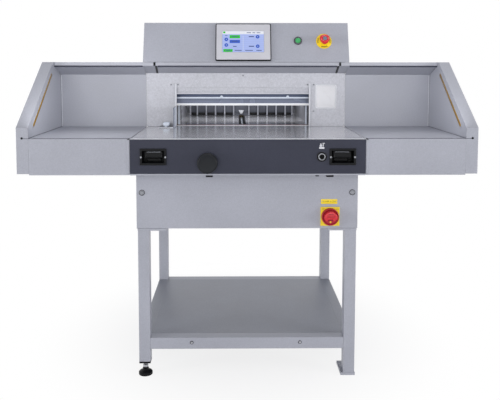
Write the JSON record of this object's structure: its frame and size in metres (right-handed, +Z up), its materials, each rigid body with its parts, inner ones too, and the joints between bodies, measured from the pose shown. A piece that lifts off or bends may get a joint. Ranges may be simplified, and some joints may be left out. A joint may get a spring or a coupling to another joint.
{
  "type": "electric paper cutter",
  "caption": "Floor-standing electric guillotine with stand, leaning control head, paper slot with knife, clamp and back gauge, and two guarded side tables.",
  "frame": {"origin": "on the floor, at the centre of the whole outline", "axes": "+X to the machine's right as seen from its front, +Y towards its back, +Z up"},
  "size_m": [1.543, 1.09, 1.283],
  "materials": {
    "grey_paint": "satin powder coat",
    "pale_paint": "speckled hammer finish",
    "dark_paint": "smooth satin",
    "shelf_paint": "satin powder coat",
    "cast_frame": "painted casting",
    "polished_steel": "ground and polished",
    "bare_steel": "bright machined",
    "dark_steel": "blackened",
    "aluminium": "machined and anodised",
    "bronze": "turned bronze",
    "black_plastic": "fine moulded grain",
    "pale_plastic": "fine moulded grain",
    "red_plastic": "smooth moulded",
    "yellow_plastic": "smooth",
    "green_plastic": "smooth moulded",
    "screen": "lit display",
    "red_stick": "extruded",
    "belt_rubber": "moulded rubber"
  },
  "bodies": {
    "frame": {"stand_side_left": "grey_paint", "stand_side_right": "grey_paint", "shelf_rail_front": "grey_paint", "shelf_rail_rear": "grey_paint", "shelf_panel": "shelf_paint", "lower_housing": "grey_paint", "rear_service_panel": "grey_paint", "mains_inlet": "black_plastic", "main_switch_plate": "yellow_plastic", "side_frame_left": "cast_frame", "side_frame_right": "cast_frame", "frame_bridge": "cast_frame", "table_body": "grey_paint", "machine_table": "polished_steel", "cutting_stick": "red_stick", "front_panel": "dark_paint", "face_panel": "pale_paint", "head_housing": "grey_paint", "rear_hood": "grey_paint", "paper_guide_left": "dark_steel", "paper_guide_right": "dark_steel", "touch_panel_bezel": "pale_plastic", "touch_screen": "screen", "start_button_bezel": "bare_steel", "estop_base": "yellow_plastic", "knife_gearmotor": "dark_steel", "clamp_gearmotor": "dark_steel", "screw_bracket": "grey_paint", "backgauge_motor": "dark_steel", "timing_belt": "belt_rubber", "side_table_left": "grey_paint", "side_table_right": "grey_paint", "end_wall_left": "grey_paint", "end_wall_right": "grey_paint", "side_lay": "bare_steel", "switch_housing_left": "black_plastic", "switch_housing_right": "black_plastic", "socket_bezel": "black_plastic"},
    "knife": {"knife_carrier": "bare_steel", "knife_blade": "polished_steel", "pull_rod": "dark_steel"},
    "crank": {"crank_disc": "dark_steel"},
    "clamp": {"clamp_beam": "grey_paint"},
    "clamp_screw": {"clamp_screw": "bare_steel"},
    "backgauge": {"backgauge_comb": "aluminium", "backgauge_carriage": "bronze"},
    "lead_screw": {"lead_screw": "bare_steel"},
    "motor_pulley": {"motor_pulley": "bare_steel"},
    "hand_wheel": {"hand_wheel": "black_plastic"},
    "adjuster": {"adjuster_spindle": "dark_steel"},
    "main_switch": {"main_switch_knob": "red_plastic"},
    "start_button": {"start_button": "green_plastic"},
    "estop_stem": {"estop_stem": "black_plastic"},
    "estop_head": {"estop_head": "red_plastic"},
    "cut_button_left": {"cut_button_left": "black_plastic"},
    "cut_button_right": {"cut_button_right": "black_plastic"},
    "wing_screw_front": {"wing_screw_front": "bare_steel"},
    "wing_screw_rear": {"wing_screw_rear": "bare_steel"},
    "foot_front": {"leveling_foot_front": "black_plastic"},
    "foot_rear": {"leveling_foot_rear": "black_plastic"}
  },
  "joints": [
    {"name": "knife_slide", "type": "slide", "parent": "frame", "child": "knife", "axis": [-0.2588, 0, -0.9659], "range_m": [0, 0.0825]},
    {"name": "crank_turn", "type": "hinge", "parent": "frame", "child": "crank", "pos_m": [0.22288, -0.0628, 0.665], "axis": [0, 1, 0], "range_deg": [0, 180]},
    {"name": "clamp_slide", "type": "slide", "parent": "frame", "child": "clamp", "axis": [0, 0, -1], "range_m": [0, 0.0814]},
    {"name": "clamp_screw_spin", "type": "hinge", "parent": "frame", "child": "clamp_screw", "pos_m": [-0.012, -0.0115, 1], "axis": [0, 0, 1], "range_deg": [0, 2932]},
    {"name": "backgauge_slide", "type": "slide", "parent": "frame", "child": "backgauge", "axis": [0, 1, 0], "range_m": [-0.443, 0]},
    {"name": "lead_screw_spin", "type": "hinge", "parent": "frame", "child": "lead_screw", "pos_m": [-0.012, 0.27, 0.862], "axis": [0, 1, 0], "range_deg": [-15950, 0]},
    {"name": "motor_pulley_spin", "type": "hinge", "parent": "frame", "child": "motor_pulley", "pos_m": [-0.012, 0.52, 0.8], "axis": [0, 1, 0], "range_deg": [-23925, 0]},
    {"name": "hand_wheel_spin", "type": "hinge", "parent": "frame", "child": "hand_wheel", "pos_m": [-0.135, -0.525, 0.797], "axis": [0, -1, 0], "continuous": true},
    {"name": "adjuster_spin", "type": "hinge", "parent": "frame", "child": "adjuster", "pos_m": [0.2465, -0.49, 0.815], "axis": [0, -1, 0], "continuous": true},
    {"name": "main_switch_turn", "type": "hinge", "parent": "frame", "child": "main_switch", "pos_m": [0.294, -0.39, 0.584], "axis": [0, -1, 0], "range_deg": [0, 90]},
    {"name": "start_button_press", "type": "slide", "parent": "frame", "child": "start_button", "axis": [0, 0.9462, -0.3237], "range_m": [0, 0.003], "stiffness_N_per_m": 300},
    {"name": "estop_press", "type": "slide", "parent": "frame", "child": "estop_stem", "axis": [0, 0.9462, -0.3237], "range_m": [0, 0.005]},
    {"name": "estop_twist", "type": "hinge", "parent": "estop_stem", "child": "estop_head", "pos_m": [0.299, -0.15249, 1.21142], "axis": [0, -0.9462, 0.3237], "range_deg": [0, 45], "stiffness_Nm_per_rad": 0.05},
    {"name": "cut_button_left_press", "type": "slide", "parent": "frame", "child": "cut_button_left", "axis": [0, 1, 0], "range_m": [0, 0.004], "stiffness_N_per_m": 400},
    {"name": "cut_button_right_press", "type": "slide", "parent": "frame", "child": "cut_button_right", "axis": [0, 1, 0], "range_m": [0, 0.004], "stiffness_N_per_m": 400},
    {"name": "wing_screw_front_turn", "type": "hinge", "parent": "frame", "child": "wing_screw_front", "pos_m": [-0.312, -0.13825, 0.885], "axis": [0, 0, 1], "continuous": true},
    {"name": "wing_screw_rear_turn", "type": "hinge", "parent": "frame", "child": "wing_screw_rear", "pos_m": [-0.312, -0.10825, 0.885], "axis": [0, 0, 1], "continuous": true},
    {"name": "foot_front_turn", "type": "hinge", "parent": "frame", "child": "foot_front", "pos_m": [-0.3685, -0.365, 0.02], "axis": [0, 0, 1], "continuous": true},
    {"name": "foot_rear_turn", "type": "hinge", "parent": "frame", "child": "foot_rear", "pos_m": [-0.3685, 0.254, 0.02], "axis": [0, 0, 1], "continuous": true}
  ],
  "couplings": [
    {"joint": "crank_turn", "follows": "knife_slide", "rad_per_m": 38.07},
    {"joint": "clamp_screw_spin", "follows": "clamp_slide", "rad_per_m": 628.32},
    {"joint": "lead_screw_spin", "follows": "backgauge_slide", "rad_per_m": 628.32},
    {"joint": "motor_pulley_spin", "follows": "backgauge_slide", "rad_per_m": 942.48}
  ]
}
